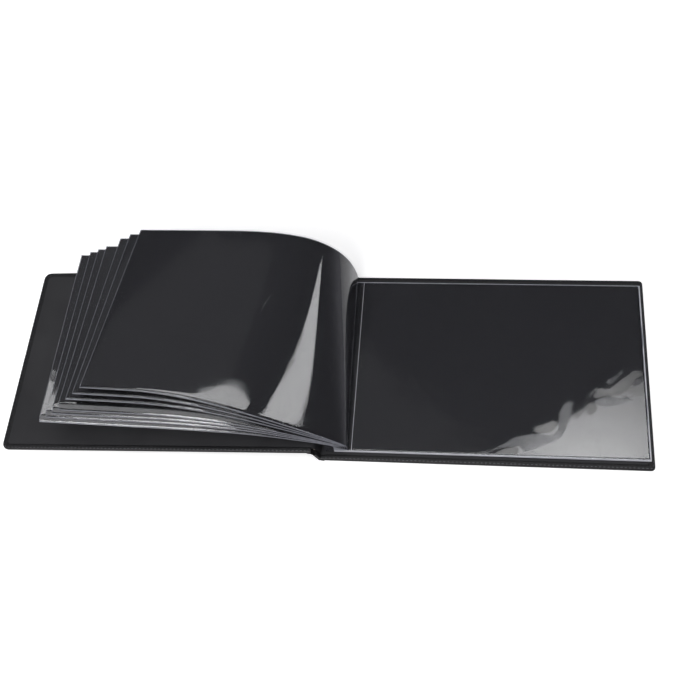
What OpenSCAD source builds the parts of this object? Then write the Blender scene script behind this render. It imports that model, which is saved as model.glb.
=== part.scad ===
// Banknote album lying open: back cover flat on the table with three leaves on it,
// spine standing, front cover sloping down to the left with seven sprung leaves above it.
// Origin: middle of the back cover's underside. +X to the back cover's free edge,
// +Y to the pocket mouths, +Z up. The closed album is a flat stack on the back cover.

/* [Covers] */
// Width of each cover, spine edge to free edge
cover_w = 225; // [200:1:260]
// Height of each cover, near edge to far edge
cover_h = 150; // [146:1:190]
// Thickness of each cover
cover_t = 2.5; // [2:0.1:4]
// Thickness of the leatherette skin
skin_t = 0.5; // [0.3:0.05:0.8]
// Thickness of the inner lining sheet
lining_t = 0.4; // [0.2:0.05:0.7]
// Width of the turned-in rim around each cover
rim_w = 4; // [2.5:0.5:8]
// Radius of the covers' free corners
corner_r = 6; // [2:0.5:15]
// Thickness of the board in the spine
spine_board_t = 1.2; // [0.8:0.1:1.6]
// Lean of the open spine, measured up from the table
spine_lean = 68; // [55:1:80]
// Distance from a crease line to the edge of a cover board
board_setback = 2.4; // [2.4:0.1:4]
// Distance from a crease line to the edge of the skin
skin_setback = 0.4; // [0.35:0.05:0.6]

/* [Leaves] */
// Width of a leaf from the binding to its free edge
leaf_w = 213; // [190:1:214]
// Height of a leaf
leaf_h = 138; // [120:1:140]
// Thickness of one clear film of a pocket
film_t = 0.1; // [0.08:0.01:0.14]
// Height of the slot between the two films
slot_t = 0.3; // [0.26:0.01:0.34]
// Thickness of the black card in a pocket
card_t = 0.2; // [0.15:0.01:0.24]
// Spacing of the leaves where they are bound
leaf_pitch = 0.7; // [0.66:0.01:0.9]
// Width of the welded margin around a pocket
weld_w = 2; // [1.5:0.5:6]
// Distance from a card's far edge down from the pocket mouth
mouth_drop = 1; // [0.5:0.5:6]
// Clearance around a card inside its pocket
card_gap = 0.4; // [0.2:0.1:1]
// Height of the gap under the lowest leaf
under_gap = 0.2; // [0.1:0.05:0.5]
// Height of the gap over the highest leaf when the album is closed
over_gap = 0.5; // [0.4:0.05:1]

/* [Binding] */
// Width of the welded bar that holds the leaf roots
binding_w = 6; // [4:0.5:7]
// Distance from the back cover's spine edge to the leaf side of the bar
binding_x = 9.5; // [9.5:0.5:11]
// Height of the bar over the top leaf root
binding_cap = 0.2; // [0.1:0.05:0.3]
// Free root between the bar and the first leaf's fold
first_root = 2; // [1.5:0.1:4]
// Extra root on each leaf below, so that the folds fan out
root_step = 1.4; // [1.3:0.1:1.8]
// Half gap between the panels at a root fold
root_crease = 0.8; // [0.7:0.05:1]
// Half gap between the panels at the other folds
curl_crease = 0.4; // [0.25:0.05:0.6]
// Width of the hinge strip on the top right leaf
right_strip = 12; // [8:1:20]

/* [Lowest turned leaf] */
// Turn at the root fold
low_root_turn = 138; // [137.5:0.5:141]
// Turn at the curl fold
low_curl_turn = 31; // [30.5:0.5:34]
// Turn at the tip fold
low_tip_turn = 12; // [11.5:0.5:14]
// Length of the hinge strip along the middle
low_hinge_len = 17; // [16:0.5:19]
// Length of the curl panel along the middle
low_curl_len = 44; // [40:1:55]
// Skew of the curl fold
low_curl_skew = 8; // [6:0.5:8]
// Skew of the tip fold
low_tip_skew = -14; // [-14:1:-8]

/* [Highest turned leaf] */
// Turn at the root fold
high_root_turn = 104; // [98:1:104]
// Turn at the curl fold
high_curl_turn = 51; // [46:1:51]
// Turn at the tip fold
high_tip_turn = 37; // [32:1:37]
// Length of the hinge strip along the middle
high_hinge_len = 27; // [26:0.5:30]
// Length of the curl panel along the middle
high_curl_len = 78; // [70:1:82]
// Skew of the curl fold
high_curl_skew = 13; // [11:0.5:13]
// Skew of the tip fold
high_tip_skew = -17; // [-18:1:-13]

/* [Hidden] */
turned = 7;
leaves = 10;
// how far each turned leaf springs up, from the lowest shape to the highest
lift = [0, 0.21, 0.35, 0.48, 0.74, 0.87, 1];

leaf_t = 2 * film_t + slot_t;
stack_t = (leaves - 1) * leaf_pitch + leaf_t;
stack_room = under_gap + stack_t + over_gap;
board_t = cover_t - skin_t - lining_t;
axis_z = skin_t / 2;
spine_w = 2 * cover_t - skin_t + stack_room;
spine_setback = 2 * skin_setback;
spine_x = -cover_w / 2 - skin_setback;
front_x = spine_x - spine_w * cos(spine_lean);
front_z = axis_z + spine_w * sin(spine_lean);
front_slope = asin((front_z - axis_z) / (cover_w + skin_setback));
bind_x = -cover_w / 2 + binding_x;
half_h = leaf_h / 2;
cut = 1;

leatherette = "#232325";
board_grey = "#8a8378";
lining_black = "#343436";
film_clear = "#c9cdd4";
card_black = "#1c1c1f";

function leaf_z(k) = cover_t + under_gap + leaf_t / 2 + (leaves - k) * leaf_pitch;
function root_u(k) = first_root + (k - 1) * root_step;
function mix(k, low, high) = low + (high - low) * lift[k - 1];
function hinge_len(k) = mix(k, low_hinge_len, high_hinge_len);
function curl_len(k) = mix(k, low_curl_len, high_curl_len);
// a fold is [distance from the binding along the middle, slope of its line, turn]
function root_fold(k) = [root_u(k), 0, mix(k, low_root_turn, high_root_turn)];
function curl_fold(k) = [root_u(k) + hinge_len(k), tan(mix(k, low_curl_skew, high_curl_skew)),
                         mix(k, low_curl_turn, high_curl_turn)];
function tip_fold(k) = [root_u(k) + hinge_len(k) + curl_len(k),
                        tan(mix(k, low_tip_skew, high_tip_skew)),
                        mix(k, low_tip_turn, high_tip_turn)];
function free_edge() = [leaf_w, 0, 0];
// the same line moved along the leaf
function moved(fold, by) = [fold[0] + by, fold[1], fold[2]];

// a cover outline from the crease side at x = 0 to its rounded free corners, inset all round
module cover_outline(start, inset) {
    r = max(corner_r - inset, 0.5);
    end = cover_w - inset;
    side = cover_h / 2 - inset;
    union() {
        translate([start, -side]) square([end - r - start, 2 * side]);
        translate([start, -side + r]) square([end - start, 2 * (side - r)]);
        for (s = [-1, 1]) translate([end - r, s * (side - r)]) circle(r, $fn = 48);
    }
}

// leatherette tray: outer sheet with a raised rim on its three free sides
module cover_skin() {
    difference() {
        linear_extrude(cover_t) cover_outline(0, 0);
        translate([0, 0, skin_t]) linear_extrude(cover_t) cover_outline(-cut, rim_w);
    }
}

module cover_board() {
    translate([0, 0, skin_t])
        linear_extrude(board_t) cover_outline(board_setback - skin_setback, rim_w);
}

module cover_lining() {
    translate([0, 0, skin_t + board_t])
        linear_extrude(lining_t) cover_outline(board_setback - skin_setback, rim_w);
}

module at_back() {
    translate([-cover_w / 2, 0, 0]) children();
}

// the front cover points left from its crease and slopes down to the table
module at_front() {
    translate([front_x, 0, front_z]) rotate([0, -front_slope, 0]) mirror([1, 0, 0])
        translate([skin_setback, 0, -axis_z]) children();
}

// the spine stands up to the left from the back cover's crease
module at_spine() {
    translate([spine_x, 0, axis_z]) rotate([0, spine_lean, 0]) mirror([1, 0, 0])
        translate([0, 0, -axis_z]) children();
}

// a strip of the spine between its two creases
module spine_strip(setback, thick, side_inset) {
    translate([setback, -cover_h / 2 + side_inset, 0])
        cube([spine_w - 2 * setback, cover_h - 2 * side_inset, thick]);
}

// part of a leaf between two fold lines and two heights, as an outline on the flat leaf
module leaf_outline(from, to, low, high) {
    polygon([[from[0] + from[1] * low, low], [to[0] + to[1] * low, low],
             [to[0] + to[1] * high, high], [from[0] + from[1] * high, high]]);
}

// a plate on the middle plane of leaf k, at its place in the closed album
module leaf_plate(k, thick) {
    translate([bind_x, 0, leaf_z(k) - thick / 2]) linear_extrude(thick) children();
}

// two films joined along the near margin, with an open slot between them
module sleeve(k, from, to, slot_from, slot_to) {
    difference() {
        leaf_plate(k, leaf_t) leaf_outline(from, to, -half_h, half_h);
        leaf_plate(k, slot_t) leaf_outline(slot_from, slot_to, -half_h + weld_w, half_h + cut);
    }
}

module card(k, from, to) {
    leaf_plate(k, card_t)
        leaf_outline(from, to, -half_h + weld_w + card_gap, half_h - mouth_drop);
}

// turns what lies past a fold of leaf k up and over to the left
module folded(k, fold) {
    translate([bind_x + fold[0], 0, leaf_z(k)]) rotate(fold[2], [-fold[1], -1, 0])
        translate([-bind_x - fold[0], 0, -leaf_z(k)]) children();
}

module at_hinge(k) {
    folded(k, root_fold(k)) children();
}

module at_curl(k) {
    at_hinge(k) folded(k, curl_fold(k)) children();
}

module at_tip(k) {
    at_curl(k) folded(k, tip_fold(k)) children();
}

module turned_hinge(k) {
    color(card_black) at_hinge(k) leaf_plate(k, leaf_t)
        leaf_outline(moved(root_fold(k), root_crease), moved(curl_fold(k), -curl_crease),
                     -half_h, half_h);
}

module turned_curl(k) {
    color(film_clear) at_curl(k)
        sleeve(k, moved(curl_fold(k), curl_crease), moved(tip_fold(k), -curl_crease),
               moved(curl_fold(k), -cut), moved(tip_fold(k), cut));
}

module turned_curl_card(k) {
    color(card_black) at_curl(k)
        card(k, moved(curl_fold(k), 2 * curl_crease), moved(tip_fold(k), -2 * curl_crease));
}

module turned_pocket(k) {
    color(film_clear) at_tip(k)
        sleeve(k, moved(tip_fold(k), curl_crease), free_edge(),
               moved(tip_fold(k), -cut), moved(free_edge(), -weld_w));
}

module turned_card(k) {
    color(card_black) at_tip(k)
        card(k, moved(tip_fold(k), 2 * curl_crease), moved(free_edge(), -weld_w - card_gap));
}

// the flat leaves on the right start at the end of their root or of a hinge strip
function right_root(k) = [root_u(k), 0, 0];
function right_start(k) = moved(right_root(k), k == turned + 1 ? right_strip : 0);
function right_crease(k) = k == turned + 1 ? curl_crease : 0;

module right_hinge(k) {
    color(card_black) leaf_plate(k, leaf_t)
        leaf_outline(moved(right_root(k), root_crease), moved(right_start(k), -curl_crease),
                     -half_h, half_h);
}

module right_pocket(k) {
    start = moved(right_start(k), right_crease(k));
    color(film_clear)
        sleeve(k, start, free_edge(), moved(start, weld_w), moved(free_edge(), -weld_w));
}

module right_card(k) {
    start = moved(right_start(k), right_crease(k));
    color(card_black)
        card(k, moved(start, weld_w + card_gap), moved(free_edge(), -weld_w - card_gap));
}

// welded bar with one root tab for each leaf
module binding_bar() {
    bar_h = under_gap + stack_t + binding_cap;
    color(film_clear) {
        translate([bind_x - binding_w, -half_h, cover_t]) cube([binding_w, leaf_h, bar_h]);
        for (k = [1 : leaves])
            leaf_plate(k, leaf_t)
                leaf_outline([-binding_w / 2, 0],
                             [root_u(k) - (k > turned + 1 ? 0 : root_crease), 0], -half_h, half_h);
    }
}

color(leatherette) at_back() cover_skin();  // back_skin
color(board_grey) at_back() cover_board();  // back_board
color(lining_black) at_back() cover_lining();  // back_lining
color(leatherette) at_spine() spine_strip(skin_setback, skin_t, 0);  // spine_skin
color(board_grey) at_spine() translate([0, 0, skin_t])  // spine_board
        spine_strip(spine_setback, spine_board_t, rim_w);
color(lining_black) at_spine() translate([0, 0, skin_t + spine_board_t])  // spine_lining
        spine_strip(spine_setback, lining_t, rim_w);
color(leatherette) at_front() cover_skin();  // front_skin
color(board_grey) at_front() cover_board();  // front_board
color(lining_black) at_front() cover_lining();  // front_lining
binding_bar();
for (k = [1 : turned]) {
    turned_hinge(k);
    turned_curl(k);
    turned_curl_card(k);
    turned_pocket(k);
    turned_card(k);
}
right_hinge(turned + 1);  // leaf_8_hinge
for (k = [turned + 1 : leaves]) {
    right_pocket(k);
    right_card(k);
}
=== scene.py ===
import math

import bpy
import numpy as np

from mathutils import Matrix


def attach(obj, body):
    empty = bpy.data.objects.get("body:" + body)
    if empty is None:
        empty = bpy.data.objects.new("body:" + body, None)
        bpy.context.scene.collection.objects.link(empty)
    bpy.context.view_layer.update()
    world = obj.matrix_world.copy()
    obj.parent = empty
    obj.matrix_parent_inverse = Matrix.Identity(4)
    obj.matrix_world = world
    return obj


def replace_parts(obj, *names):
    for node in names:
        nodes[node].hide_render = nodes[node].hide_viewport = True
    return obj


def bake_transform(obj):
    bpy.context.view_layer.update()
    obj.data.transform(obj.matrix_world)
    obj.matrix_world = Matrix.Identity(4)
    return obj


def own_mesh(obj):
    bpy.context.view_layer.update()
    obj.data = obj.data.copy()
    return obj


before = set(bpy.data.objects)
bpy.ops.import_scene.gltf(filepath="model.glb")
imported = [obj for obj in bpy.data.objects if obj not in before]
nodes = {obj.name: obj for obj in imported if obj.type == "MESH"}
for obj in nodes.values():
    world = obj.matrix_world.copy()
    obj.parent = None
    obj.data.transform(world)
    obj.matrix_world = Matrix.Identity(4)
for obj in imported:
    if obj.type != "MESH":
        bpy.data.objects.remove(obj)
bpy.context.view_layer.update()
mm = 0.001
yAxis = np.array([0, 1.0, 0])

# sizes of the album in mm, as the frame has them
album = {
    "coverW": 225.0, "coverH": 150.0, "coverT": 2.5, "skinT": 0.5,
    "creaseGap": 0.4, "spineW": 12.0, "spineLean": 68.0,
    "leafW": 213.0, "leafH": 138.0, "leafPitch": 0.7, "lowestLeafZ": 2.95,
    "barX": -103.0, "barW": 6.0, "weldW": 2.0, "cardGap": 0.4,
    "firstRoot": 2.0, "rootStep": 1.4, "rightStrip": 12.0,
    "turned": 7, "leaves": 10,
}
axisZ = album["skinT"] / 2      # the creases' axes lie in the middle of the skin
spineX = -album["coverW"] / 2 - album["creaseGap"]
spineDir = np.array([-math.cos(math.radians(album["spineLean"])), 0.0,
                     math.sin(math.radians(album["spineLean"]))])
backAxis = np.array([spineX, 0.0, axisZ])
frontAxis = backAxis + album["spineW"] * spineDir
frontSlope = math.asin((frontAxis[2] - axisZ) / (album["coverW"] + album["creaseGap"]))
frontDir = np.array([-math.cos(frontSlope), 0.0, -math.sin(frontSlope)])


# mesh helpers

sharpTurn = math.radians(38)    # edges that turn more than this stay hard


def smoothStep(x):
    # cubic ease from 0 to 1
    t = np.clip(x, 0.0, 1.0)
    return t * t * (3 - 2 * t)


def makePiece(name, points, quads, materials, faceSlot=None, uv=None, loopNormals=None, caps=()):
    # points in mm, quads as rows of four indices, caps as lists of indices
    mesh = bpy.data.meshes.new(name)
    mesh.from_pydata((points * mm).tolist(), [], quads.tolist() + list(caps))
    for material in materials:
        mesh.materials.append(material)
    mesh.polygons.foreach_set("use_smooth", np.ones(len(mesh.polygons), bool))
    if faceSlot is not None:
        mesh.polygons.foreach_set("material_index", faceSlot.astype(np.int32))
    if uv is not None:
        layer = mesh.uv_layers.new(name="alongLeaf")
        corner = np.empty(len(mesh.loops), np.int32)
        mesh.loops.foreach_get("vertex_index", corner)
        layer.data.foreach_set("uv", (uv * mm)[corner].astype(np.float32).ravel())
    mesh.validate()
    if loopNormals is None:
        mesh.set_sharp_from_angle(angle=sharpTurn)
    else:
        mesh.normals_split_custom_set(loopNormals.tolist())
    piece = bpy.data.objects.new(name, mesh)
    bpy.context.scene.collection.objects.link(piece)
    return piece


def gridQuads(rows, cols, first=0, flip=False):
    # the quads of a grid of rows by cols points that starts at index first
    i = first + np.arange(rows * cols).reshape(rows, cols)
    quads = np.stack([i[:-1, :-1], i[1:, :-1], i[1:, 1:], i[:-1, 1:]], -1).reshape(-1, 4)
    return quads[:, ::-1] if flip else quads


def gridNormals(points):
    # the cross product of the two tangents of a grid
    normal = np.cross(np.gradient(points, axis=0), np.gradient(points, axis=1))
    return normal / np.linalg.norm(normal, axis=-1, keepdims=True)


def tubePiece(name, tubes, material):
    # closed tubes in one piece: the rows of each grid are rings, with a flat cap at both ends
    quads, caps, first = [], [], 0
    for tube in tubes:
        rows, cols = tube.shape[:2]
        i = first + np.arange(rows * cols).reshape(rows, cols)
        ring = np.hstack([i, i[:, :1]])
        side = np.stack([ring[:-1, :-1], ring[:-1, 1:], ring[1:, 1:], ring[1:, :-1]], -1)
        quads.append(side.reshape(-1, 4))
        caps += [i[0, ::-1].tolist(), i[-1].tolist()]
        first += rows * cols
    points = np.vstack([tube.reshape(-1, 3) for tube in tubes])
    return makePiece(name, points, np.vstack(quads), [material], caps=caps)


def bentLine(a, corner, b, t):
    # a quadratic curve from a to b with the corner as its control point, at each t
    t = np.reshape(t, (-1,) + (1,) * np.ndim(a))
    return (1 - t) ** 2 * a + 2 * t * (1 - t) * corner + t * t * b


def lineNormals(line):
    # a curve's tangents in the xz plane, each turned by a quarter
    tangent = np.gradient(line, axis=0)
    normal = np.column_stack([-tangent[:, 2], np.zeros(len(line)), tangent[:, 0]])
    return normal / np.linalg.norm(normal, axis=1, keepdims=True)


# materials

bandLength = 0.314      # length of one band of a Wave Texture at scale 1


def linear(hexColour):
    # sRGB hex to linear rgba
    c = np.array([int(hexColour[i:i + 2], 16) for i in (1, 3, 5)]) / 255
    return (*np.where(c <= 0.04045, c / 12.92, ((c + 0.055) / 1.055) ** 2.4).tolist(), 1.0)


def addNode(tree, kind, settings=None, links=None):
    # one node: settings go to its sockets, its colour stops or its properties, links bring sockets in
    node = tree.nodes.new(kind)
    for key, value in (settings or {}).items():
        if key == "stops":
            for stop, (position, colour) in zip(node.color_ramp.elements, value):
                stop.position, stop.color = position, linear(colour)
        elif isinstance(key, int) or key in node.inputs:
            node.inputs[key].default_value = value
        else:
            setattr(node, key, value)
    for key, source in (links or {}).items():
        tree.links.new(source, node.inputs[key])
    return node


def newMaterial(name, settings):
    # a material whose Principled shader has the given settings
    material = bpy.data.materials.new(name)
    material.use_nodes = True
    tree = material.node_tree
    shader = tree.nodes["Principled BSDF"]
    for key, value in settings.items():
        shader.inputs[key].default_value = value
    return material, tree, shader


def pressedLeatherette():
    # PVC leatherette pressed with a fine goat grain: small satin pebbles, smoother on their crowns,
    # with painted shade that darkens the valleys
    grain = {"pebble": 1.1, "wander": 2.5, "shift": 0.6, "height": 0.09,
             "stops": ((0.0, "#19191c"), (0.75, "#0e0e10"))}
    material, tree, shader = newMaterial("pressedLeatherette", {"IOR": 1.5, "Specular IOR Level": 0.35})
    place = addNode(tree, "ShaderNodeTexCoord")
    wander = addNode(tree, "ShaderNodeTexNoise", {"Scale": 1 / (grain["wander"] * mm), "Detail": 2.0},
                     {"Vector": place.outputs["Object"]})
    shift = addNode(tree, "ShaderNodeMixRGB", {"blend_type": "ADD", "Fac": grain["shift"] * mm},
                    {"Color1": place.outputs["Object"], "Color2": wander.outputs["Color"]})
    pebble = addNode(tree, "ShaderNodeTexVoronoi",
                     {"feature": "SMOOTH_F1", "Scale": 1 / (grain["pebble"] * mm),
                      "Smoothness": 0.35}, {"Vector": shift.outputs["Color"]})
    # painted shade: the pebbles' valleys are coloured darker than their crowns
    ramp = addNode(tree, "ShaderNodeValToRGB", {"stops": grain["stops"]},
                   {"Fac": pebble.outputs["Distance"]})
    tree.links.new(ramp.outputs["Color"], shader.inputs["Base Color"])
    rough = addNode(tree, "ShaderNodeMapRange", {"To Min": 0.36, "To Max": 0.55},
                    {"Value": pebble.outputs["Distance"]})
    tree.links.new(rough.outputs["Result"], shader.inputs["Roughness"])
    bump = addNode(tree, "ShaderNodeBump",
                   {"invert": True, "Strength": 0.8, "Distance": grain["height"] * mm},
                   {"Height": pebble.outputs["Distance"]})
    tree.links.new(bump.outputs["Normal"], shader.inputs["Normal"])
    return material


def liningSheet():
    # calendered PVC lining with a very fine dull grain: an even soft charcoal face
    grain = {"grit": 0.7, "cloud": 45.0, "height": 0.03, "stops": ((0.3, "#2f2f31"), (0.7, "#373739"))}
    material, tree, shader = newMaterial("calenderedPvcLining", {
        "IOR": 1.5, "Specular IOR Level": 0.15, "Roughness": 0.5})
    place = addNode(tree, "ShaderNodeTexCoord")
    grit = addNode(tree, "ShaderNodeTexNoise", {"Scale": 1 / (grain["grit"] * mm), "Detail": 3.0},
                   {"Vector": place.outputs["Object"]})
    cloud = addNode(tree, "ShaderNodeTexNoise", {"Scale": 1 / (grain["cloud"] * mm)},
                    {"Vector": place.outputs["Object"]})
    ramp = addNode(tree, "ShaderNodeValToRGB", {"stops": grain["stops"]}, {"Fac": cloud.outputs["Fac"]})
    tree.links.new(ramp.outputs["Color"], shader.inputs["Base Color"])
    bump = addNode(tree, "ShaderNodeBump", {"Strength": 0.6, "Distance": grain["height"] * mm},
                   {"Height": grit.outputs["Fac"]})
    tree.links.new(bump.outputs["Normal"], shader.inputs["Normal"])
    return material


def binderBoard():
    # grey pulp board, hidden in the covers: flecked and dull
    fleck = {"size": 1.2, "stops": ((0.0, "#6f6a61"), (1.0, "#8f887d"))}
    material, tree, shader = newMaterial("greyBinderBoard", {"Roughness": 0.9})
    place = addNode(tree, "ShaderNodeTexCoord")
    noise = addNode(tree, "ShaderNodeTexNoise", {"Scale": 1 / (fleck["size"] * mm), "Detail": 4.0},
                    {"Vector": place.outputs["Object"]})
    ramp = addNode(tree, "ShaderNodeValToRGB", {"stops": fleck["stops"]}, {"Fac": noise.outputs["Fac"]})
    tree.links.new(ramp.outputs["Color"], shader.inputs["Base Color"])
    return material


def clearFilm(name, wave):
    # clear soft PVC film: mirror gloss with slow waves and faint ripples that break up its reflections
    ripple = {"long": 11.0, "share": 0.08}
    material, tree, shader = newMaterial(name, {
        "Base Color": linear("#f4f5f8"), "IOR": 1.53, "Roughness": 0.03,
        "Transmission Weight": 1.0})
    place = addNode(tree, "ShaderNodeTexCoord")
    slow = addNode(tree, "ShaderNodeTexNoise",
                   {"Scale": 1 / (wave["long"] * mm), "Detail": 1.0, "Distortion": 0.6},
                   {"Vector": place.outputs["UV"]})
    quick = addNode(tree, "ShaderNodeTexNoise", {"Scale": 1 / (ripple["long"] * mm), "Detail": 0.0},
                    {"Vector": place.outputs["UV"]})
    both = addNode(tree, "ShaderNodeMath", {"operation": "MULTIPLY_ADD", 1: ripple["share"]},
                   {0: quick.outputs["Fac"], 2: slow.outputs["Fac"]})
    bump = addNode(tree, "ShaderNodeBump", {"Strength": 1.0, "Distance": wave["height"] * mm},
                   {"Height": both.outputs["Value"]})
    tree.links.new(bump.outputs["Normal"], shader.inputs["Normal"])
    return material


def paintedHighlightEdge(name, beadHighlight):
    # PVC weld bead with painted highlight: its pale grey colour stands in for the light the bead
    # catches, as a pale line
    material, tree, shader = newMaterial(name, {"IOR": 1.53, "Roughness": 0.22})
    place = addNode(tree, "ShaderNodeTexCoord")
    noise = addNode(tree, "ShaderNodeTexNoise", {"Scale": 1 / (beadHighlight["size"] * mm), "Detail": 2.0},
                    {"Vector": place.outputs["Object"]})
    ramp = addNode(tree, "ShaderNodeValToRGB", {"stops": beadHighlight["stops"]}, {"Fac": noise.outputs["Fac"]})
    tree.links.new(ramp.outputs["Color"], shader.inputs["Base Color"])
    return material


def blackCard():
    # dyed smooth card: dull black with a faint fibre fleck
    fibre = {"size": 0.8, "stops": ((0.3, "#222224"), (0.7, "#2e2e31"))}
    material, tree, shader = newMaterial("dyedBlackCard", {"Roughness": 0.7, "IOR": 1.45})
    place = addNode(tree, "ShaderNodeTexCoord")
    noise = addNode(tree, "ShaderNodeTexNoise", {"Scale": 1 / (fibre["size"] * mm), "Detail": 4.0},
                    {"Vector": place.outputs["UV"]})
    ramp = addNode(tree, "ShaderNodeValToRGB", {"stops": fibre["stops"]}, {"Fac": noise.outputs["Fac"]})
    tree.links.new(ramp.outputs["Color"], shader.inputs["Base Color"])
    return material


def sewingThread():
    # bonded black polyester thread: twisted, with a light satin
    twist = {"pitch": 0.5, "stops": ((0.0, "#3a3a3e"), (1.0, "#5c5c62"))}
    material, tree, shader = newMaterial("bondedThread", {"Roughness": 0.45})
    place = addNode(tree, "ShaderNodeTexCoord")
    wave = addNode(tree, "ShaderNodeTexWave",
                   {"bands_direction": "DIAGONAL", "Scale": bandLength / (twist["pitch"] * mm)},
                   {"Vector": place.outputs["Object"]})
    ramp = addNode(tree, "ShaderNodeValToRGB", {"stops": twist["stops"]}, {"Fac": wave.outputs["Fac"]})
    tree.links.new(ramp.outputs["Color"], shader.inputs["Base Color"])
    return material


def weldedRoots():
    # leaf roots fused into one smoky PVC block: glossy, with a band for each leaf
    block = {"layer": 0.7, "stops": ((0.0, "#1c1c1f"), (1.0, "#333338"))}
    material, tree, shader = newMaterial("fusedPvcRoots", {"IOR": 1.53, "Roughness": 0.2})
    place = addNode(tree, "ShaderNodeTexCoord")
    wave = addNode(tree, "ShaderNodeTexWave",
                   {"bands_direction": "Z", "Scale": bandLength / (block["layer"] * mm)},
                   {"Vector": place.outputs["Object"]})
    ramp = addNode(tree, "ShaderNodeValToRGB", {"stops": block["stops"]}, {"Fac": wave.outputs["Fac"]})
    tree.links.new(ramp.outputs["Color"], shader.inputs["Base Color"])
    return material


leatherette, lining, board = pressedLeatherette(), liningSheet(), binderBoard()
tautFilm = clearFilm("tautPvcFilm", {"long": 46.0, "height": 0.09})
slackFilm = clearFilm("slackPvcFilm", {"long": 40.0, "height": 0.32})
# painted highlight: pale colours stand in for the light the weld beads catch; the brighter copy goes on
# the lying leaves, whose edges catch more light
beadHighlight = paintedHighlightEdge("weldBeadPaintedHighlight", {"size": 3.0, "stops": ((0.0, "#6a6b72"), (1.0, "#93949c"))})
brightBeadHighlight = paintedHighlightEdge("weldBeadBrightPaintedHighlight", {"size": 5.0, "stops": ((0.0, "#a4a5ac"), (1.0, "#cbccd3"))})
card, thread, fusedRoots = blackCard(), sewingThread(), weldedRoots()
nodeLooks = {"skin": leatherette, "lining": lining, "board": board, "pocket": slackFilm}
for name, node in nodes.items():
    node.data.materials.clear()
    node.data.materials.append(nodeLooks.get(name.split("_")[-1], card))
print("materials ready")


# covers

coverRim = {
    "cornerR": {"back": 2.8, "front": 5.2}, "leastR": 0.4, "edgeR": 1.2,
    "crown": 0.25, "shoulder": 0.4,     # how far the rim swells, and the share of it at its edges
    "inner": 3.9, "lip": 0.5, "wallLean": 0.05, "overlap": 7.0,
    "cornerSteps": 9, "runSteps": 24, "edgeSteps": 5, "swellSteps": 6,
}


def toBack(points):
    # cover coordinates to the back cover, which lies flat
    return points + np.array([-album["coverW"] / 2, 0, 0])


def toFront(points):
    # cover coordinates to the front cover, which points left and slopes to the table
    up = np.array([-math.sin(frontSlope), 0, math.cos(frontSlope)])
    along = points[..., :1] + album["creaseGap"]
    return frontAxis + along * frontDir + points[..., 1:2] * yAxis + (points[..., 2:] - axisZ) * up


def coverPath(inset, radius):
    # a cover's three free sides at each inset, from the near crease corner round to the far one:
    # straight runs with quarter circles of the corner radius less the inset
    r = np.maximum(radius - inset, coverRim["leastR"])[:, None]
    endX = (album["coverW"] - inset)[:, None]
    endY = (album["coverH"] / 2 - inset)[:, None]
    turn = np.linspace(0, math.pi / 2, coverRim["cornerSteps"])[None]
    run = np.linspace(0, 1, coverRim["runSteps"])[None]
    nearX = np.hstack([run * (endX - r), endX - r + r * np.sin(turn)[:, 1:]])
    nearY = np.hstack([-endY + 0 * run, -endY + r - r * np.cos(turn)[:, 1:]])
    sideY = (-endY + r) + (2 * endY - 2 * r) * run[:, 1:-1]
    x = np.hstack([nearX, endX + 0 * sideY, nearX[:, ::-1]])
    y = np.hstack([nearY, sideY, -nearY[:, ::-1]])
    return x, y


def coverSkin(name, place, flip, radius):
    # a closed rim section carried round three sides, and a sheet that fills the underside
    r, inner, overlap = (coverRim[key] for key in ("edgeR", "inner", "overlap"))
    top = album["coverT"] + coverRim["crown"] * coverRim["shoulder"]
    crown = coverRim["crown"] * (1 - coverRim["shoulder"])
    edge = np.linspace(0, math.pi / 2, coverRim["edgeSteps"])
    low = np.column_stack([r * (1 - np.sin(edge)), r * (1 - np.cos(edge))])
    high = np.column_stack([r * (1 - np.cos(edge)), top - r * (1 - np.sin(edge))])
    across = np.linspace(r, inner, coverRim["swellSteps"])[1:]
    swell = np.column_stack([across, top + crown * np.sin(math.pi * (across - r) / (inner - r))])
    wallAt = inner + coverRim["wallLean"]
    back = np.array([[wallAt, album["coverT"] - coverRim["lip"]], [wallAt, album["skinT"]],
                     [overlap, album["skinT"]], [overlap, 0.0]])
    section = np.vstack([low, high, swell, back])
    x, y = coverPath(section[:, 0], radius)
    rim = np.stack([x, y, np.repeat(section[:, 1:], x.shape[1], 1)], -1)
    rows, cols = rim.shape[:2]
    i = np.arange(rows * cols).reshape(rows, cols)
    ring = np.vstack([i, i[:1]])
    quads = np.stack([ring[:-1, :-1], ring[:-1, 1:], ring[1:, 1:], ring[1:, :-1]], -1).reshape(-1, 4)
    floorLow = np.column_stack([rim[-1, :, :2], np.zeros(cols)])
    floorHigh = np.column_stack([rim[-1, :, :2], np.full(cols, album["skinT"])])
    points = np.vstack([rim.reshape(-1, 3), floorLow, floorHigh])
    lowI, highI = i.size + np.arange(cols), i.size + cols + np.arange(cols)
    wall = np.stack([lowI, np.roll(lowI, -1), np.roll(highI, -1), highI], -1)
    caps = [i[:, 0].tolist(), i[::-1, -1].tolist(), lowI[::-1].tolist(), highI.tolist()]
    quads = np.vstack([quads, wall])
    if flip:
        quads, caps = quads[:, ::-1], [c[::-1] for c in caps]
    return makePiece(name, place(points), quads, [leatherette], caps=caps)


stitchLine = {"inset": 1.25, "pitch": 2.8, "length": 1.7, "width": 0.5, "height": 0.16,
              "endGap": 4.0, "blunt": 0.98, "seat": 0.2, "ahead": 0.3, "rings": 7, "sides": 6}


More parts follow.
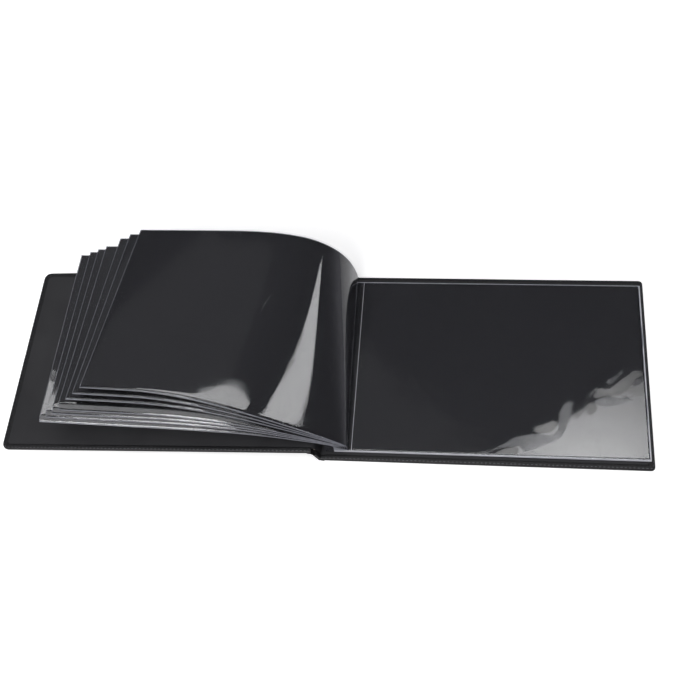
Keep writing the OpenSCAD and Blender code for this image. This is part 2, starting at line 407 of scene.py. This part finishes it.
def rimStitches(name, place, flip, radius):
    # ellipsoids of thread half sunk in the rim, one after another along its path
    rings, sides = stitchLine["rings"], stitchLine["sides"]
    x, y = coverPath(np.array([stitchLine["inset"]]), radius)
    path = np.column_stack([x[0], y[0]])
    run = np.concatenate([[0], np.cumsum(np.linalg.norm(np.diff(path, axis=0), axis=1))])
    at = np.arange(stitchLine["endGap"], run[-1] - stitchLine["endGap"], stitchLine["pitch"])
    centre, ahead = (np.column_stack([np.interp(s, run, path[:, c]) for c in (0, 1)])
                     for s in (at, at + stitchLine["ahead"]))
    ahead = ahead - centre
    ahead /= np.linalg.norm(ahead, axis=1, keepdims=True)
    aside = np.column_stack([-ahead[:, 1], ahead[:, 0]])
    lengthwise = np.linspace(-1, 1, rings)
    about = np.linspace(0, 2 * math.pi, sides + 1)[:-1]
    girth = np.sqrt(np.clip(1 - (lengthwise * stitchLine["blunt"]) ** 2, 0, 1))
    along = np.repeat(lengthwise * stitchLine["length"] / 2, sides)[:, None]
    side = np.outer(girth, np.cos(about)).reshape(-1, 1) * stitchLine["width"] / 2
    up = np.outer(girth, np.sin(about)).ravel() * stitchLine["height"]
    flat = centre[:, None] + along * ahead[:, None] + side * aside[:, None]
    z = album["coverT"] + coverRim["crown"] * stitchLine["seat"] + np.tile(up, len(at))
    points = np.column_stack([flat.reshape(-1, 2), z])
    i = np.arange(rings * sides).reshape(rings, sides)
    ring = np.hstack([i, i[:, :1]])
    one = np.stack([ring[:-1, :-1], ring[1:, :-1], ring[1:, 1:], ring[:-1, 1:]], -1).reshape(-1, 4)
    starts = i.size * np.arange(len(at))
    quads = (one + starts[:, None, None]).reshape(-1, 4)
    ends = (np.stack([i[0], i[-1, ::-1]]) + starts[:, None, None]).reshape(-1, sides).tolist()
    if flip:
        quads, ends = quads[:, ::-1], [e[::-1] for e in ends]
    return makePiece(name, place(points), quads, [thread], caps=ends)


for side, place, flip in (("back", toBack, False), ("front", toFront, True)):
    radius = coverRim["cornerR"][side]
    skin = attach(coverSkin(side + "_cover_leatherette", place, flip, radius), side + "_cover")
    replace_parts(skin, side + "_skin")
    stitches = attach(rimStitches(side + "_cover_stitches", place, flip, radius), side + "_cover")
print("covers ready")

creaseBand = {"reach": 3.2, "thick": 0.62, "hem": 0.5, "hemW": 4.0, "endR": 0.8, "endLeast": 0.15,
              "endRows": np.array([0, 0.3, 1.2]), "rows": 30, "steps": 15}


def creaseLeather(name, axis, before, after):
    # a strip bent round a crease: a quadratic curve from one flat to the other, given thickness
    # along its normal, a little thicker in the hems and rounded at both ends
    a, b = axis + before * creaseBand["reach"], axis + after * creaseBand["reach"]
    line = bentLine(a, axis, b, np.linspace(0, 1, creaseBand["steps"]))
    halfH = album["coverH"] / 2
    body, ends = halfH - creaseBand["hemW"], creaseBand["endRows"]
    y = np.concatenate([ends - halfH, np.linspace(-body, body, creaseBand["rows"]), halfH - ends[::-1]])
    toEnd = halfH - np.abs(y)
    hem = 1 - smoothStep(toEnd / creaseBand["hemW"])
    end = np.sqrt(np.clip(toEnd / creaseBand["endR"], creaseBand["endLeast"], 1))
    thick = (creaseBand["thick"] + creaseBand["hem"] * hem) / 2 * end
    middle = line + y[:, None, None] * yAxis
    lift = lineNormals(line) * thick[:, None, None]
    loop = np.concatenate([middle + lift, (middle - lift)[:, ::-1]], 1)
    loop[..., 2] = np.maximum(loop[..., 2], 0.0)     # nothing dips under the table
    return tubePiece(name, [loop], leatherette)


innerCrease = {"lap": 1.6, "thick": 0.12, "proud": 0.02, "tuck": 0.6, "inset": 4.0,
               "spineFace": 1.85, "spineGap": 0.8, "boardGap": 2.4, "rows": 25, "steps": 13}


def innerNormal(along):
    # the side of a crease that faces the leaves, for a direction along the album from back to front
    return np.array([along[2], 0, -along[0]])


def creaseLining(name, axis, before, after, bodies):
    # a thin strip over a crease on the leaf side: from one lining to the other by a quadratic curve
    # whose control point is where the two lining faces would meet
    ends, normals, rises = [], [], []
    for direction, along, body in ((before, -before, bodies[0]), (after, after, bodies[1])):
        onSpine = body == "spine"
        rise = innerCrease["spineFace"] if onSpine else album["coverT"] - axisZ
        gap = innerCrease["spineGap"] if onSpine else innerCrease["boardGap"]
        normal = innerNormal(along)
        ends.append(axis + direction * (gap + innerCrease["lap"])
                    + normal * (rise + innerCrease["proud"]))
        normals.append(normal)
        rises.append(rise)
    corner = axis + np.linalg.solve(np.array([normals[0], yAxis, normals[1]]), [rises[0], 0, rises[1]])
    line = bentLine(ends[0], corner, ends[1], np.linspace(0, 1, innerCrease["steps"]))
    reach = album["coverH"] / 2 - innerCrease["inset"] + innerCrease["tuck"]
    y = np.linspace(-1, 1, innerCrease["rows"])[:, None, None] * reach * yAxis
    upper = line - lineNormals(line) * innerCrease["thick"]
    return tubePiece(name, [np.concatenate([upper + y, line[::-1] + y], 1)], lining)


spineHem = {"gap": 2.7, "square": 0.4, "steps": 9, "sides": 16}


def spineHems():
    # leatherette turned in at both ends of the spine: a squared oval, carried along the spine's width
    # over the skin and in front of the board
    normal = innerNormal(spineDir)
    along = np.linspace(spineHem["gap"], album["spineW"] - spineHem["gap"], spineHem["steps"])
    about = np.linspace(0, 2 * math.pi, spineHem["sides"] + 1)[:-1]
    wide, tall = innerCrease["inset"] / 2, (innerCrease["spineFace"] - axisZ) / 2
    side, up = (np.sign(wave) * np.abs(wave) ** spineHem["square"] * size
                for wave, size in ((np.cos(about), wide), (np.sin(about), tall)))
    bars = []
    for end in (-1, 1):
        middle = end * (album["coverH"] / 2 - wide)
        bars.append(backAxis + along[:, None, None] * spineDir
                    + (axisZ + tall + up)[:, None] * normal + (middle + side)[:, None] * yAxis)
    return tubePiece("spine_hems", bars, leatherette)


for name, axis, before, after, bodies in (
        ("back_crease", backAxis, np.array([1.0, 0, 0]), spineDir, ("back_cover", "spine")),
        ("front_crease", frontAxis, -spineDir, frontDir, ("spine", "front_cover"))):
    for piece, slot in ((creaseLeather(name, axis, before, after), "leatherette"),
                        (creaseLining(name + "_lining", axis, before, after, bodies), "lining")):
        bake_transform(piece)
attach(spineHems(), "spine")
print("creases ready")


# leaves

leafShape = {
    # turns, lengths and skews of the lowest and the highest sprung leaf, and each leaf's share
    "low": {"turn": np.array([138, 31, 12]), "length": np.array([17, 44]),
            "skew": np.array([0, 8, -14])},
    "high": {"turn": np.array([104, 51, 37]), "length": np.array([27, 78]),
             "skew": np.array([0, 13, -17])},
    "lift": (0, 0.21, 0.35, 0.48, 0.74, 0.87, 1),
    "reach": 45.0,      # how far the last bend runs into the sheet
    # slope and width of the sagging near margin of the low leaves and the high ones
    "droop": {"low": (0.38, 4.6), "high": (0.25, 2.0)}, "lowLeaves": 4,
    "soft": 0.6,        # radius where the sag begins
    "sagFrom": 40.0, "sagRun": 70.0,
    "rootSteps": 4, "bendSteps": (9, 11, 15), "sheetSteps": 8, "sheetEnd": 0.1,
}
filmLook = {
    "filmT": 0.1, "pocket": 0.2, "weld": 0.06, "beadT": 0.2, "cardT": 0.2,
    "nearEase": 0.5, "freeEase": 0.3, "rootEase": 1.5,      # how fast the films part beside a weld
    # width of the painted highlight band along a lying leaf's mouth
    "mouthHighlightW": 0.31, "cardFromRoot": 2.5,
}
pageWave = {"height": 0.02, "from": 20.0, "run": 30.0,
            "first": (17, 23), "second": (29, 14), "share": 0.7}
halfLeaf = album["leafH"] / 2
cardInset = album["weldW"] + album["cardGap"]
# rows of points for bead, weld and card
nearRows = np.array([0, 0.3, 0.6, 0.8, 1.0, 1.3])       # in from the near edge
freeRows = np.array([0, 0.1, 0.22, 0.35, 0.5, 0.65])    # in from a sprung leaf's free edge
pageRows = np.array([0, 0.4, 0.8, 1.1, 1.4, 1.8])       # in from a lying leaf's free edge
sagRows = np.array([1.7, 2.2, 3.2, 4.0, 4.6, 5.2, 6.0, 7.5])     # close together over the sagging margin
middleRows = np.linspace(10.0, album["leafH"] - 4.0, 25)
mouthRows = np.array([0.6, 0.3, 0])                     # in from the mouth
acrossLeaf = np.concatenate([nearRows, sagRows, middleRows, album["leafH"] - mouthRows]) - halfLeaf
# the card stops short of the welds and the mouth
cardRows = slice(len(nearRows) - 1, len(acrossLeaf) - len(mouthRows) + 1)


def leafZ(k):
    # height of a leaf's middle, a pitch for each leaf under it
    return album["lowestLeafZ"] + (album["leaves"] - k) * album["leafPitch"]


def rootU(k):
    # distance of a leaf's root fold from the bar, a step for each leaf over it
    return album["firstRoot"] + (k - 1) * album["rootStep"]


def leafFolds(k):
    # each fold of a sprung leaf: its distance from the bar, slope of its line and turn in radians,
    # mixed from the lowest and the highest leaf by its lift
    low, high = leafShape["low"], leafShape["high"]
    turn, length, skew = (low[key] + (high[key] - low[key]) * leafShape["lift"][k - 1]
                          for key in ("turn", "length", "skew"))
    at = rootU(k) + np.concatenate([[0], np.cumsum(length)])
    return list(zip(at, np.tan(np.radians(skew)), np.radians(turn)))


def turnAbout(points, pivot, axis, angle):
    # turns points about a line by the right-hand rule
    axis = np.array(axis) / np.linalg.norm(axis)
    p = points - pivot
    return (pivot + p * math.cos(angle) + np.cross(axis, p) * math.sin(angle)
            + axis * (p @ axis)[..., None] * (1 - math.cos(angle)))


def leafControl(k, v):
    # for each height v the bar, the three folds and the free edge, carried by the folds before them
    folds = leafFolds(k)
    u = [0 * v] + [at + slope * v for at, slope, _ in folds] + [album["leafW"] + 0 * v]
    points = np.stack([np.column_stack([album["barX"] + x, v, 0 * v + leafZ(k)]) for x in u])
    for i in (2, 1, 0):
        at, slope, turn = folds[i]
        pivot = np.array([album["barX"] + at, 0, leafZ(k)])
        points[i + 2:] = turnAbout(points[i + 2:], pivot, (-slope, -1, 0), turn)
    return points


def alongLength(points):
    # distance along the leaf from the bar at every grid point
    steps = np.linalg.norm(np.diff(points, axis=0), axis=2)
    return np.vstack([np.zeros(points.shape[1]), np.cumsum(steps, 0)])


def sprungLeaf(k):
    # a smooth leaf through its folds: quadratic curves from the middle of one panel to the middle
    # of the next with the fold as control point, then straight to the free edge; the near margin sags
    bar, root, curl, tip, free = leafControl(k, acrossLeaf)
    m0, m1, m2 = (bar + root) / 2, (root + curl) / 2, (curl + tip) / 2
    rest = np.linalg.norm(free - tip, axis=1, keepdims=True)
    m3 = tip + (free - tip) * np.minimum(0.5, leafShape["reach"] / rest)
    parts = [bar + (m0 - bar) * np.linspace(0, 1, leafShape["rootSteps"])[:, None, None]]
    for a, fold, b, steps in zip((m0, m1, m2), (root, curl, tip), (m1, m2, m3), leafShape["bendSteps"]):
        t = np.linspace(0, 0.5, steps)[1:]
        parts += [bentLine(a, fold, b, t), bentLine(a, fold, b, 0.5 + t)]
    span = np.linalg.norm(free - m3, axis=1)
    sheet = np.linspace(1, leafShape["sheetEnd"], leafShape["sheetSteps"])[1:, None] * span
    toEdge = np.vstack([sheet, np.repeat(freeRows[::-1, None], len(acrossLeaf), 1)])
    parts.append(free + (m3 - free) * (toEdge / span)[..., None])
    ends = np.cumsum([len(p) for p in parts]) - 1
    leaf = np.concatenate(parts)
    slope, width = leafShape["droop"]["low" if k <= leafShape["lowLeaves"] else "high"]
    into = width - (acrossLeaf + halfLeaf)
    sag = slope * (np.hypot(into, leafShape["soft"]) + into) / 2     # a ramp with a rounded start
    leaf[..., 2] -= sag * smoothStep((alongLength(leaf) - leafShape["sagFrom"]) / leafShape["sagRun"])
    return leaf, [0, *ends[[1, 3, 5, 6, 7]].tolist()]    # cut at the folds and after the last bend


def flatLeaf(k, stops, height):
    # a flat leaf with two slow waves of a given height, cut at the given distances from the bar
    u = [np.linspace(a, b, n)[1:] for a, b, n in stops]
    u = np.concatenate([[stops[0][0]]] + u + [album["leafW"] - pageRows[::-1]])
    x, y = np.meshgrid(u, acrossLeaf, indexing="ij")
    ease = smoothStep((x - pageWave["from"]) / pageWave["run"])
    (xa, ya), (xb, yb) = pageWave["first"], pageWave["second"]
    wave = ease * height * (np.sin(x / xa + y / ya + k)
                            + pageWave["share"] * np.sin(x / xb - y / yb + 2 * k))
    cuts = np.searchsorted(u, [b for _, b, _ in stops[:-1]])
    return np.stack([album["barX"] + x, y, leafZ(k) + wave], -1), [0, *cuts.tolist(), len(u) - 1]


def sheetShells(name, layers, u, v, rows, materials, beadHighlightAt=None):
    # closed thin sheets: for each layer an outer and an inner grid joined by walls at the borders;
    # the grids bring their own normals, and a face takes the painted highlight where all its corners do
    part = slice(rows[0], rows[1] + 1)
    n, cols = rows[1] - rows[0] + 1, u.shape[1]
    size = n * cols
    i = np.arange(size).reshape(n, cols)
    border = np.concatenate([i[:-1, 0], i[-1, :-1], i[:0:-1, -1], i[0, :0:-1]])
    onward = np.roll(border, -1)
    walls = np.stack([border + size, onward + size, onward, border], -1)
    sheets = np.vstack([gridQuads(n, cols), gridQuads(n, cols, size, True)])
    faces = np.vstack([sheets, walls])
    points, normals = [], []
    for outer, inner, outerShade, innerShade in layers:
        shell = np.vstack([outer[part].reshape(-1, 3), inner[part].reshape(-1, 3)])
        shade = np.vstack([outerShade[part].reshape(-1, 3), innerShade[part].reshape(-1, 3)])
        a, b, c = (shell[walls[:, corner]] for corner in (0, 1, 3))
        wallShade = np.cross(b - a, c - a)
        wallShade /= np.maximum(np.linalg.norm(wallShade, axis=1, keepdims=True), 1e-9)
        points.append(shell)
        normals += [shade[sheets.ravel()], np.repeat(wallShade, 4, 0)]
    quads = np.vstack([faces + 2 * size * layer for layer in range(len(layers))])
    uv = np.column_stack([u[part].ravel(), np.tile(v, n)])
    slots = None
    if beadHighlightAt is not None:
        slots = np.tile(beadHighlightAt[part].ravel()[faces % size].all(1), len(layers))
    return makePiece(name, np.vstack(points), quads, materials, slots,
                     np.tile(uv, (2 * len(layers), 1)), np.vstack(normals))


def filmLayers(mid, u, pocketStart, edgeRows, highlightMouth=False):
    # two films welded at the root, near and free margins and apart over the card; the near and free
    # margins end in a thicker bead
    normal = gridNormals(mid)
    v = np.broadcast_to(acrossLeaf, u.shape)
    toFree = u[-1:] - u
    near, far = v + halfLeaf, halfLeaf - v
    apart = np.ones(u.shape)
    for into, ease in ((near - nearRows[3], filmLook["nearEase"]),
                       (toFree - edgeRows[3], filmLook["freeEase"]),
                       (u - pocketStart, filmLook["rootEase"])):
        apart = np.minimum(apart, smoothStep(into / ease))
    apart = filmLook["weld"] + (filmLook["pocket"] - filmLook["weld"]) * apart
    rim = np.minimum(near / nearRows[2], toFree / edgeRows[2])     # 1 where the bead ends
    swell = filmLook["beadT"] / 2 * np.sqrt(np.clip(1 - (rim * 2 - 1) ** 2, 0, 1))
    outer = (apart + filmLook["filmT"] / 2 + swell)[..., None] * normal
    inner = (apart - filmLook["filmT"] / 2)[..., None] * normal
    layers = [(mid + outer, mid + inner, gridNormals(mid + outer), -gridNormals(mid + inner)),
              (mid - inner, mid - outer, gridNormals(mid - inner), -gridNormals(mid - outer))]
    # painted highlight: the bead faces, and on lying leaves a band along the mouth, take the pale colour
    # that stands in for caught light
    beadHighlightAt = (rim <= 1 + 1e-6) | ((far <= filmLook["mouthHighlightW"]) & highlightMouth)
    return layers, beadHighlightAt


def cardPiece(name, mid, u, rows):
    # a card inside the welds: half its thickness to each side of the leaf's middle
    mid = mid[:, cardRows]
    normal = gridNormals(mid) * filmLook["cardT"] / 2
    layer = (mid + normal, mid - normal, gridNormals(mid + normal), -gridNormals(mid - normal))
    return sheetShells(name, [layer], u[:, cardRows], acrossLeaf[cardRows], rows, [card])


def panelPlane(a, b, c):
    # the plane of a panel from three of its points: its anchor and unit normal
    normal = np.cross(b - a, c - a)
    return a, normal / np.linalg.norm(normal)


def flatten(piece, anchor, normal):
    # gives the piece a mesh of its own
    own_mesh(piece)


for k in range(1, album["turned"] + 1):
    mid, cuts = sprungLeaf(k)
    u = alongLength(mid)
    middle = u[:, len(acrossLeaf) // 2]
    control = leafControl(k, np.array([-halfLeaf, halfLeaf]))
    planes = [panelPlane(a[0], b[0], a[1]) for a, b in zip(control[:-1], control[1:])]
    layers, beadHighlightAt = filmLayers(mid, u, rootU(k), freeRows)
    body = f"leaf_{k}_"
    for n, (part, rider, panel, stands) in enumerate((
            ("root", "back_cover", 0, None), ("strip", body + "strip", 1, body + "hinge"),
            ("arch", body + "arch", 2, body + "curl"), ("bend", body + "sheet", 3, None),
            ("sheet", body + "sheet", 3, body + "pocket"))):
        piece = sheetShells(f"leaf_{k}_film_{part}", layers, u, acrossLeaf, cuts[n:n + 2],
                            [tautFilm, beadHighlight], beadHighlightAt)
        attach(piece, rider)
        flatten(piece, *planes[panel])
        if stands:
            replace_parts(piece, stands)
    cardStart = int(np.searchsorted(middle, rootU(k) + filmLook["cardFromRoot"]))
    for part, rider, panel, rows, stands in (
            ("strip", body + "strip", 1, (max(cuts[1], cardStart), cuts[2]), None),
            ("arch", body + "arch", 2, (cuts[2], cuts[3]), body + "curl_card"),
            ("bend", body + "sheet", 3, (cuts[3], cuts[4]), None),
            ("sheet", body + "sheet", 3, (cuts[4], len(u) - len(freeRows)), body + "card")):
        piece = cardPiece(f"leaf_{k}_card_{part}", mid, u, rows)
        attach(piece, rider)
        flatten(piece, *planes[panel])
        if stands:
            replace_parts(piece, stands)
print("sprung leaves ready")

lyingLeaf = {
    "margin": 5.0, "sheetSteps": 44, "rootSteps": 10,
    "creaseW": 0.2, "creaseHighlightW": 0.21,     # half widths of the pressed line that the top leaf turns on, and of the painted highlight along it
    "topSteps": (20, 3, 10, 14), "topWeld": 0.3, "weldLap": 0.6,
    # the top leaf's cards, from the bar and from the folds
    "cardFromBar": 2.0, "beforeRoot": 0.5, "beforeStrip": 0.7, "afterFold": 0.1,
}
foldReach = 1.2         # half the width of a fold of the top lying leaf, in mm
topLeaf = album["turned"] + 1


def acrossFold(piece, at):
    # bakes the placement of a piece of the top leaf into its mesh
    at = album["barX"] + at
    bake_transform(piece)


for k in range(topLeaf, album["leaves"] + 1):
    top, root = k == topLeaf, rootU(k)
    strip = root + (album["rightStrip"] if top else 0)
    pageFrom, pageTo = strip + lyingLeaf["margin"], album["leafW"] - lyingLeaf["margin"]
    marks, steps = (0, pageFrom, pageTo), (lyingLeaf["rootSteps"], lyingLeaf["sheetSteps"])
    if top:
        marks = (0, root - lyingLeaf["creaseW"], root + lyingLeaf["creaseW"],
                 root + album["rightStrip"] / 2, pageFrom, pageTo)
        steps = (*lyingLeaf["topSteps"], lyingLeaf["sheetSteps"])
    stops = list(zip(marks[:-1], marks[1:], steps))
    mid, cuts = flatLeaf(k, stops, pageWave["height"])
    flatMid, _ = flatLeaf(k, stops, 0.0)        # the card slides, so it is flat
    u = alongLength(mid)
    middle = u[:, len(acrossLeaf) // 2]
    pocketStart = lyingLeaf["topWeld"] if top else root + album["weldW"] - lyingLeaf["weldLap"]
    layers, beadHighlightAt = filmLayers(mid, u, pocketStart, pageRows, True)
    looks = [slackFilm, brightBeadHighlight]
    if top:
        # painted highlight: a thin band along the top leaf's root fold takes the pale highlight colour
        beadHighlightAt |= np.abs(u - root) < lyingLeaf["creaseHighlightW"]
        for part, rows, a, b, at, stands in (
                ("root", (0, cuts[3]), "back_cover", "leaf_8_strip", root, "leaf_8_hinge"),
                ("sheet", (cuts[3], cuts[-1]), "leaf_8_strip", "leaf_8_sheet", strip, "leaf_8_pocket")):
            piece = sheetShells(f"leaf_{k}_film_{part}", layers, u, acrossLeaf, rows, looks, beadHighlightAt)
            acrossFold(piece, at)
            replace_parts(piece, stands)
    else:
        piece = sheetShells(f"leaf_{k}_film", layers, u, acrossLeaf, (0, cuts[-1]), looks, beadHighlightAt)
        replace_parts(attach(piece, "back_cover"), f"leaf_{k}_pocket")
    before, after = foldReach + lyingLeaf["beforeStrip"], foldReach + lyingLeaf["afterFold"]
    cardStart = int(np.searchsorted(middle, strip + (after if top else cardInset)))
    parts = [("sheet", f"card_{k}", (cardStart, len(u) - len(pageRows)))]
    if top:
        rootCard = (lyingLeaf["cardFromBar"], root - foldReach - lyingLeaf["beforeRoot"])
        parts += [("root", "back_cover", np.searchsorted(middle, rootCard)),
                  ("strip", "leaf_8_strip", np.searchsorted(middle, (root + after, strip - before)))]
    for part, rider, rows in parts:
        piece = cardPiece(f"leaf_{k}_card_{part}", flatMid, u, rows)
        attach(piece, rider)
        if part == "sheet":
            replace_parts(piece, f"leaf_{k}_card")
    folds = (("root_fold", "back_cover", "leaf_8_strip", root),
             ("strip_fold", "leaf_8_strip", "leaf_8_sheet", strip))
    for part, a, b, at in folds if top else ():
        rows = np.searchsorted(middle, (at - before, at + after))
        piece = cardPiece(f"leaf_{k}_card_{part}", flatMid, u, rows)
        acrossFold(piece, at)
print("lying leaves ready")

rootBlock = {"layerT": 0.66, "round": 0.12, "arcSteps": 4,
             "endRun": 0.15, "endScale": 0.95, "middle": 20.0}


def bindingBlock():
    # one slab with rounded edges for each leaf root, a little narrower at both ends, in a stack
    r, halfW, halfT = rootBlock["round"], album["barW"] / 2, rootBlock["layerT"] / 2
    turn = np.linspace(0, math.pi / 2, rootBlock["arcSteps"])
    section = np.vstack([np.column_stack([cx * (halfW - r) + r * np.cos(turn + quarter * math.pi / 2),
                                          cz * (halfT - r) + r * np.sin(turn + quarter * math.pi / 2)])
                         for quarter, (cx, cz) in enumerate(((1, 1), (-1, 1), (-1, -1), (1, -1)))])
    toEnd = halfLeaf - rootBlock["endRun"]
    y = np.array([-halfLeaf, -toEnd, -rootBlock["middle"], rootBlock["middle"], toEnd, halfLeaf])
    scale = np.where(np.abs(y) == halfLeaf, rootBlock["endScale"], 1.0)[:, None]
    x, z = album["barX"] - halfW + scale * section[:, 0], scale * section[:, 1]
    slabs = [np.stack([x, np.broadcast_to(y[:, None], x.shape), leafZ(k) + z], -1)
             for k in range(1, album["leaves"] + 1)]
    return tubePiece("binding_block", slabs, fusedRoots)


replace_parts(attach(bindingBlock(), "back_cover"), "binding_bar")
print("binding ready")


# floor, light and camera

studio = {
    "floorSize": 8.0, "floor": "#f2f2f2",
    "glow": 0.5, "glowFrom": 0.6, "whiteFrom": 2.4, "mirrorGlow": 0.03,
    "sky": (0.96, 0.94, 1.04, 1.0),
    "horizon": 0.42, "horizonAt": 0.02, "ceiling": 0.071, "ceilingAt": 0.55,
    "lamps": (  # name, shape, place, aim, width and depth, turn and spread in degrees, power in watts
        ("overheadStrip", "RECTANGLE", (-0.28, 0.441, 2.0), (-0.28, 0.441, 0.0),
         (2.67, 0.35), -16.7, 180.0, 10.3),
        ("ceilingPanel", "RECTANGLE", (-0.82, 0.85, 2.01), (-0.82, 0.85, 0.0),
         (3.25, 1.1), -41.0, 180.0, 1.04),
        ("griddedBox", "RECTANGLE", (0.17, 0.256, 0.7), (0.09, -0.02, 0.0),
         (0.31, 0.116), 27.3, 17.6, 0.0065),
        ("frontStrip", "RECTANGLE", (-0.65, -0.5, 2.0), (-0.65, -0.5, 0.0),
         (2.6, 0.8), 0.0, 180.0, 9.8),
        ("sideOval", "ELLIPSE", (1.8, 0.436, 2.0), (1.8, 0.436, 0.0),
         (1.36, 0.23), 38.0, 180.0, 3.2),
        ("frontBox", "RECTANGLE", (-0.7, -1.7, 1.7), (0.0, 0.0, 0.0),
         (1.3, 1.3), 0.0, 180.0, 38.0),
    ),
}


def makeFloor():
    # a pale sheet that glows to the camera, fading to white far out, and keeps the shadow
    size = studio["floorSize"] / 2 / mm
    points = np.array([[-size, -size, 0], [size, -size, 0], [size, size, 0], [-size, size, 0]])
    material, tree, shader = newMaterial("paleFloor", {
        "Base Color": linear(studio["floor"]), "Roughness": 0.9, "Emission Color": (1, 1, 1, 1)})
    path = addNode(tree, "ShaderNodeLightPath")
    mirrored = addNode(tree, "ShaderNodeMath", {"operation": "MAXIMUM"},
                       {0: path.outputs["Is Glossy Ray"], 1: path.outputs["Is Transmission Ray"]})
    faint = addNode(tree, "ShaderNodeMath", {"operation": "MULTIPLY", 1: studio["mirrorGlow"]},
                    {0: mirrored.outputs["Value"]})
    place = addNode(tree, "ShaderNodeTexCoord")
    reach = addNode(tree, "ShaderNodeVectorMath", {"operation": "LENGTH"}, {0: place.outputs["Object"]})
    fade = addNode(tree, "ShaderNodeMapRange",
                   {"From Min": studio["glowFrom"], "From Max": studio["whiteFrom"],
                    "To Min": studio["glow"], "To Max": 1.0}, {"Value": reach.outputs["Value"]})
    glow = addNode(tree, "ShaderNodeMath", {"operation": "MULTIPLY_ADD"},
                   {0: path.outputs["Is Camera Ray"], 1: fade.outputs["Result"],
                    2: faint.outputs["Value"]})
    tree.links.new(glow.outputs["Value"], shader.inputs["Emission Strength"])
    floor = makePiece("floor", points, np.array([[0, 1, 2, 3]]), [material])


def makeWorld():
    # white to the camera, bright at the horizon and grey overhead for light and reflections
    world = bpy.data.worlds.new("studio")
    bpy.context.scene.world = world
    world.use_nodes = True
    tree = world.node_tree
    path = addNode(tree, "ShaderNodeLightPath")
    place = addNode(tree, "ShaderNodeTexCoord")
    axes = addNode(tree, "ShaderNodeSeparateXYZ", {}, {"Vector": place.outputs["Generated"]})
    level = addNode(tree, "ShaderNodeMapRange",
                    {"interpolation_type": "SMOOTHSTEP",
                     "From Min": studio["horizonAt"], "From Max": studio["ceilingAt"],
                     "To Min": studio["horizon"], "To Max": studio["ceiling"]},
                    {"Value": axes.outputs["Z"]})
    strength = addNode(tree, "ShaderNodeMix", {"data_type": "FLOAT", 3: 1.0},
                       {0: path.outputs["Is Camera Ray"], 2: level.outputs["Result"]})
    sky = tree.nodes["Background"]
    tint = addNode(tree, "ShaderNodeMix", {"data_type": "RGBA", 6: studio["sky"], 7: (1, 1, 1, 1)},
                   {0: path.outputs["Is Camera Ray"]})
    tree.links.new(tint.outputs[2], sky.inputs["Color"])
    tree.links.new(strength.outputs[0], sky.inputs["Strength"])


def rolled(right, up, angle):
    # two axes of a view turned about the third
    return (math.cos(angle) * right + math.sin(angle) * up,
            math.cos(angle) * up - math.sin(angle) * right)


def hang(name, data, place, axes):
    # a lamp or camera at its place, with its right, up and back axes
    holder = bpy.data.objects.new(name, data)
    bpy.context.scene.collection.objects.link(holder)
    holder.matrix_world = Matrix.Translation(place) @ Matrix(np.column_stack(axes).tolist()).to_4x4()
    return holder


def makeLamps():
    # area lamps that look from their place to their aim, turned about that line
    for name, shape, place, aim, size, turn, spread, power in studio["lamps"]:
        lamp = bpy.data.lights.new(name, "AREA")
        lamp.shape, lamp.energy, lamp.spread = shape, power, math.radians(spread)
        lamp.size, lamp.size_y = size
        back = np.array(place) - np.array(aim)
        back = back / np.linalg.norm(back)
        side = np.cross(yAxis, back)
        side = side / np.linalg.norm(side)
        axes = (*rolled(side, np.cross(back, side), math.radians(turn)), back)
        hang(name, lamp, place, axes).visible_camera = False


lookFrom = {"elevation": 59.55, "yaw": -13.86, "roll": -10.88, "focalPx": 1078.9, "imagePx": 680,
            "target": (-106.39, 21.31, 0.0), "distance": 791.7}


def makeCamera():
    # looks ahead by yaw and elevation, rolled about that line, at a distance from its target
    e, yaw, roll = (math.radians(lookFrom[key]) for key in ("elevation", "yaw", "roll"))
    ahead = np.array([math.sin(yaw) * math.cos(e), math.cos(yaw) * math.cos(e), -math.sin(e)])
    right = np.array([math.cos(yaw), -math.sin(yaw), 0.0])
    lens = bpy.data.cameras.new("camera")
    lens.sensor_width = 36.0
    lens.lens = lookFrom["focalPx"] / lookFrom["imagePx"] * lens.sensor_width
    lens.clip_start, lens.clip_end = 0.01, 50.0
    at = (np.array(lookFrom["target"]) - lookFrom["distance"] * ahead) * mm
    axes = (*rolled(right, np.cross(right, ahead), roll), -ahead)
    bpy.context.scene.camera = hang("camera", lens, at.tolist(), axes)


makeFloor()
makeWorld()
makeLamps()
makeCamera()
bpy.context.scene.view_settings.view_transform = "Standard"
print("scene ready")
